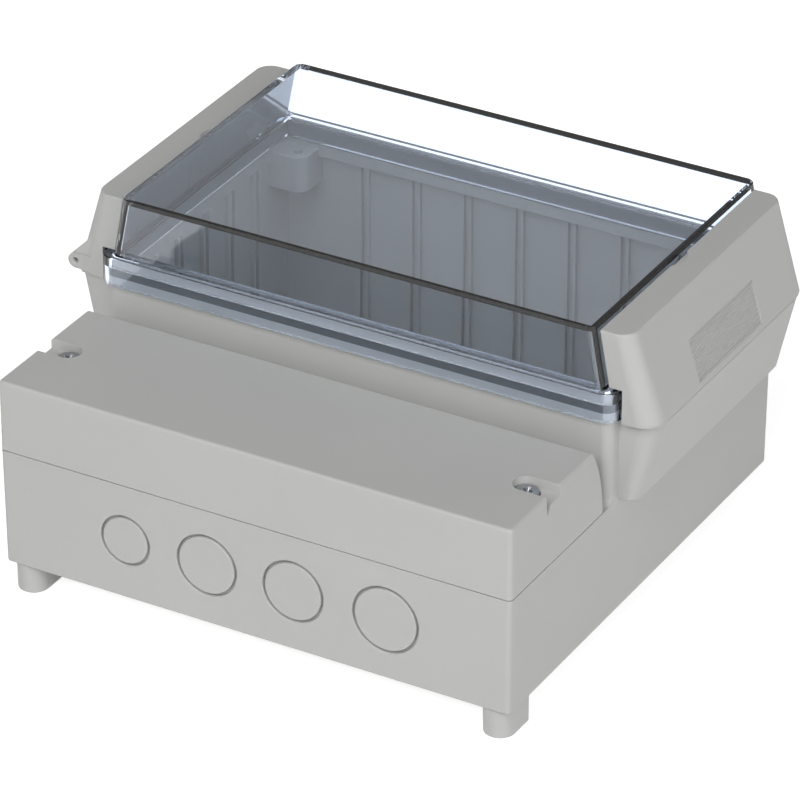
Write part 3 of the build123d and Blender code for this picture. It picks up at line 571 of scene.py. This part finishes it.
# %% Moulded plastic
GREY = "C2C2C0"
GREY_CLOUD = "BCBDBB"
CLOUD_MM = 35
GRAIN_MM = 0.8
GRAIN_DEPTH = 0.03 * MM
RIB_DEPTH = 0.3 * MM
BAND_AT_SCALE_1 = 0.314
PLASTIC_IOR = 1.53


def moulded_plastic(name, rib_mm=0.0):
    """Light grey plastic, with level ribs in it where a rib spacing is given."""
    material, tree, shader, place = new_finish(name)
    cloud = add(tree, "ShaderNodeTexNoise",
                {"Vector": place, "Scale": per_metre(CLOUD_MM), "Detail": 3.0})
    colour = mixed(tree, cloud.outputs["Fac"], GREY, GREY_CLOUD)
    grain = add(tree, "ShaderNodeTexNoise",
                {"Vector": place, "Scale": per_metre(GRAIN_MM), "Detail": 2.0})
    rough = add(tree, "ShaderNodeMapRange",
                {"Value": grain.outputs["Fac"], "To Min": 0.46, "To Max": 0.58})
    bump = add(tree, "ShaderNodeBump", {"Height": grain.outputs["Fac"], "Strength": 0.25,
                                        "Distance": GRAIN_DEPTH})
    if rib_mm:
        ribs = add(tree, "ShaderNodeTexWave",
                   {"Vector": place, "Scale": BAND_AT_SCALE_1 * per_metre(rib_mm)},
                   wave_type="BANDS", bands_direction="Z")
        bump = add(tree, "ShaderNodeBump",
                   {"Height": ribs.outputs["Fac"], "Strength": 0.9, "Distance": RIB_DEPTH,
                    "Normal": bump.outputs["Normal"]})
    tree.links.new(colour, shader.inputs["Base Color"])
    tree.links.new(rough.outputs["Result"], shader.inputs["Roughness"])
    tree.links.new(bump.outputs["Normal"], shader.inputs["Normal"])
    shader.inputs["IOR"].default_value = PLASTIC_IOR
    return material


grey_plastic = moulded_plastic("moulded_abs_pc_light_grey")
print("made", grey_plastic.name)

# %% [markdown]
# ## Tinted clear polycarbonate
# The lid is moulded in clear polycarbonate with a faint, cool smoke tint, in a polished mould, so
# it is glossy and its edges look dark where the light is caught inside. They could be painted
# dark, but real refraction gives that for free, so the shader transmits light with the refractive
# index of polycarbonate. A very faint roughness noise stands for handling marks.

# %% Lid material
LID_TINT = "E9F0FA"
HAZE_MM = 12
POLYCARBONATE_IOR = 1.58


def clear_polycarbonate():
    material, tree, shader, place = new_finish("tinted_polycarbonate_polished")
    haze = add(tree, "ShaderNodeTexNoise",
               {"Vector": place, "Scale": per_metre(HAZE_MM), "Detail": 4.0})
    rough = add(tree, "ShaderNodeMapRange",
                {"Value": haze.outputs["Fac"], "To Min": 0.0, "To Max": 0.02})
    tree.links.new(rough.outputs["Result"], shader.inputs["Roughness"])
    shader.inputs["Base Color"].default_value = linear(LID_TINT)
    shader.inputs["Transmission Weight"].default_value = 1.0
    shader.inputs["IOR"].default_value = POLYCARBONATE_IOR
    return material


lid_plastic = clear_polycarbonate()
print("made", lid_plastic.name)

# %% [markdown]
# ## Rubber, steel, nylon and brass
# The small parts are dark grey rubber seals, zinc-plated steel screws, natural nylon washers and
# brass inserts. They could share one shader with four colours, but each gets its own noise and
# gloss: rubber has a dusty bloom, zinc plating a faint patchy sheen, nylon a milky cloud, and
# turned brass a fine variation in gloss.

# %% Small finishes
def small_finish(name, colours, cloud_mm, roughness, bump_mm, metallic=0.0):
    """A finish between two colours and two roughnesses, both in clouds of one size."""
    material, tree, shader, place = new_finish(name)
    cloud = add(tree, "ShaderNodeTexNoise",
                {"Vector": place, "Scale": per_metre(cloud_mm), "Detail": 4.0})
    colour = mixed(tree, cloud.outputs["Fac"], *colours)
    rough = add(tree, "ShaderNodeMapRange", {"Value": cloud.outputs["Fac"],
                                             "To Min": roughness[0], "To Max": roughness[1]})
    bump = add(tree, "ShaderNodeBump", {"Height": cloud.outputs["Fac"], "Strength": 0.3,
                                        "Distance": bump_mm * MM})
    tree.links.new(colour, shader.inputs["Base Color"])
    tree.links.new(rough.outputs["Result"], shader.inputs["Roughness"])
    tree.links.new(bump.outputs["Normal"], shader.inputs["Normal"])
    shader.inputs["Metallic"].default_value = metallic
    return material


seal_rubber = small_finish("epdm_rubber_moulded", ("55595C", "5F6467"), cloud_mm=1.5,
                           roughness=(0.62, 0.8), bump_mm=0.03)
zinc_steel = small_finish("zinc_plated_steel", ("B9BBBE", "A6A9AD"), cloud_mm=2.0,
                          roughness=(0.28, 0.42), bump_mm=0.01, metallic=1.0)
white_nylon = small_finish("natural_nylon", ("DEDBD0", "D2CEC2"), cloud_mm=3.0,
                           roughness=(0.4, 0.55), bump_mm=0.02)
turned_brass = small_finish("turned_brass", ("D2A95A", "B98F45"), cloud_mm=1.0,
                            roughness=(0.25, 0.4), bump_mm=0.01, metallic=1.0)
print("made", seal_rubber.name, zinc_steel.name, white_nylon.name, turned_brass.name)

# %% [markdown]
# ## Finishes on the solids
# Every solid gets its finish by the start of its name, so that nothing is left with the plain
# colour it came with. Where several starts fit, the longest one counts: a lid screw's washer is
# nylon, though its name also starts as the screw's does and as the lid's does.

# %% Assign finishes
FINISH_OF = {
    "base_housing": grey_plastic,
    "terminal_cover_gasket": seal_rubber,
    "terminal_cover": grey_plastic,
    "side_cover": grey_plastic,
    "lid_gasket": seal_rubber,
    "lid_screw_washer": white_nylon,
    "cover_screw_washer": white_nylon,
    "lid_screw": zinc_steel,
    "cover_screw": zinc_steel,
    "lid_insert": turned_brass,
    "cover_insert": turned_brass,
    "lid": lid_plastic,
}
for name, solid in frame["nodes"].items():
    start = max((key for key in FINISH_OF if name.startswith(key)), key=len)
    for dressed in (solid, modelled.get(name, solid)):
        dressed.data.materials.clear()
        dressed.data.materials.append(FINISH_OF[start])
print("solids finished:", len(frame["nodes"]), "pieces finished:", len(modelled))

# %% [markdown]
# ## Ribbed grips
# Each side cover has a shallow recess in its slope, where fingers pull it up, and the recess has
# fine level ribs moulded in it. Real ones are about 0.6 mm apart, which is two pixels here, so they
# are drawn 0.9 mm apart. They are far too fine to model, so a wave in the plastic's bump makes
# them, on its own material slot, and the recess's faces are found by their place and normal.

# %% Grips
GRIP_RIB_MM = 0.9
GRIP_LOW_Z = 75.2 * MM
GRIP_HIGH_Z = 88.4 * MM
GRIP_HALF_LENGTH = 19.9 * MM
GRIP_LEAST_AREA = 50 * MM * MM
GRIP_LOOKS_OUT = 0.8
ribbed_plastic = moulded_plastic("moulded_abs_pc_ribbed", rib_mm=GRIP_RIB_MM)


def on_grip(piece, face, middle_y):
    """Whether a face is the floor of the grip recess."""
    corners = [piece.data.vertices[index].co for index in face.vertices]
    in_height = all(GRIP_LOW_Z < corner.z < GRIP_HIGH_Z for corner in corners)
    in_length = all(abs(corner.y - middle_y) < GRIP_HALF_LENGTH for corner in corners)
    looks_out = abs(face.normal.x) > GRIP_LOOKS_OUT
    return in_height and in_length and looks_out and face.area > GRIP_LEAST_AREA


for node in ("side_cover_right", "side_cover_left"):
    cover = modelled[node]
    cover.data.materials.append(ribbed_plastic)
    low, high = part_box(node)
    grip = [face for face in cover.data.polygons if on_grip(cover, face, (low.y + high.y) / 2)]
    for face in grip:
        face.material_index = 1
    area = sum(face.area for face in grip) / MM / MM
    print(node, "grip faces:", len(grip), "area mm2:", round(area))

# %% [markdown]
# ## Floor and backdrop
# The enclosure was photographed on pure white. A white floor lit like the object would be grey,
# so the floor gives off most of its own white to the camera, to reflections and to what is seen
# through the lid, and keeps a plain pale surface under that, which still takes a soft shadow.

# %% Floor
FLOOR_SIZE = 12.0
FLOOR_BELOW = 0.2 * MM
FLOOR_GLOW = 0.75
only_nothing()
bpy.ops.mesh.primitive_plane_add(size=FLOOR_SIZE, location=(0, 0, -FLOOR_BELOW))
floor = bpy.context.object
floor.name = "floor"
floor_material = bpy.data.materials.new("white_studio_floor")
floor_material.use_nodes = True
floor_tree = floor_material.node_tree
floor_shader = floor_tree.nodes["Principled BSDF"]
floor_shader.inputs["Base Color"].default_value = linear("E6E6E6")
floor_shader.inputs["Roughness"].default_value = 0.9
floor_shader.inputs["Emission Color"].default_value = (1, 1, 1, 1)
path = add(floor_tree, "ShaderNodeLightPath").outputs
direct = add(floor_tree, "ShaderNodeMath", {0: path["Is Camera Ray"], 1: path["Is Glossy Ray"]},
             operation="ADD")
seen = add(floor_tree, "ShaderNodeMath", {0: direct.outputs[0], 1: path["Is Transmission Ray"]},
           operation="ADD")
glow = add(floor_tree, "ShaderNodeMath", {0: seen.outputs[0], 1: FLOOR_GLOW}, operation="MULTIPLY")
floor_tree.links.new(glow.outputs[0], floor_shader.inputs["Emission Strength"])
floor.data.materials.append(floor_material)
floor.select_set(False)
print("floor laid", FLOOR_BELOW / MM, "mm under the feet")

# %% [markdown]
# ## Light
# The light in the picture is broad and soft, a little stronger from the front than from above,
# so that upright faces are lighter than level ones. The main lamp stands high in front, where it
# also reaches down through the lid. A low one softens its shadows, another lifts the right side,
# and a weak one behind on the left keeps the back readable. The world adds a little even fill. It
# is white to the camera and through the lid, but dimmer to reflections, as a studio's ceiling is
# dimmer than its backdrop, which keeps the veil on the lid thin.

# %% World
FILL = 0.15
BACKDROP = 1.0
GLOSS_SHARE = 0.3
world = bpy.data.worlds.new("white_studio")
bpy.context.scene.world = world
world.use_nodes = True
tree = world.node_tree
background = tree.nodes["Background"]
background.inputs["Color"].default_value = (1, 1, 1, 1)
path = add(tree, "ShaderNodeLightPath").outputs
glossy = add(tree, "ShaderNodeMath", {0: path["Is Glossy Ray"], 1: GLOSS_SHARE},
             operation="MULTIPLY")
direct = add(tree, "ShaderNodeMath", {0: path["Is Camera Ray"], 1: glossy.outputs[0]},
             operation="ADD")
seen = add(tree, "ShaderNodeMath", {0: direct.outputs[0], 1: path["Is Transmission Ray"]},
           operation="ADD")
share = add(tree, "ShaderNodeMath", {0: seen.outputs[0], 1: 1.0}, operation="MINIMUM")
level = add(tree, "ShaderNodeMapRange",
            {"Value": share.outputs[0], "To Min": FILL, "To Max": BACKDROP})
tree.links.new(level.outputs["Result"], background.inputs["Strength"])
print("the world gives", FILL, "of white as fill light")

# %% [markdown]
# Each lamp is a square panel, as a softbox is, and looks at the middle of the enclosure. Its size
# against its distance makes the shadows soft, and its power is in watts.

# %% Lamps
LAMP_AIM = Vector((0, 0, 50 * MM))


def lamp(name, place, size, watts):
    data = bpy.data.lights.new(name, "AREA")
    data.shape = "SQUARE"
    data.size = size
    data.energy = watts
    panel = bpy.data.objects.new(name, data)
    bpy.context.scene.collection.objects.link(panel)
    panel.location = place
    panel.rotation_euler = (LAMP_AIM - Vector(place)).to_track_quat("-Z", "Y").to_euler()


lamp("overhead_softbox", place=(0.2, -1.2, 1.3), size=0.9, watts=15.5)
lamp("front_softbox", place=(-0.35, -1.7, 0.75), size=1.2, watts=4.5)
lamp("right_softbox", place=(1.6, -0.5, 0.7), size=1.0, watts=10.5)
lamp("rear_softbox", place=(-1.5, 1.1, 0.15), size=0.8, watts=5.0)
bpy.context.scene.view_settings.view_transform = "Standard"
print("lit by", [light.name for light in bpy.data.lights])
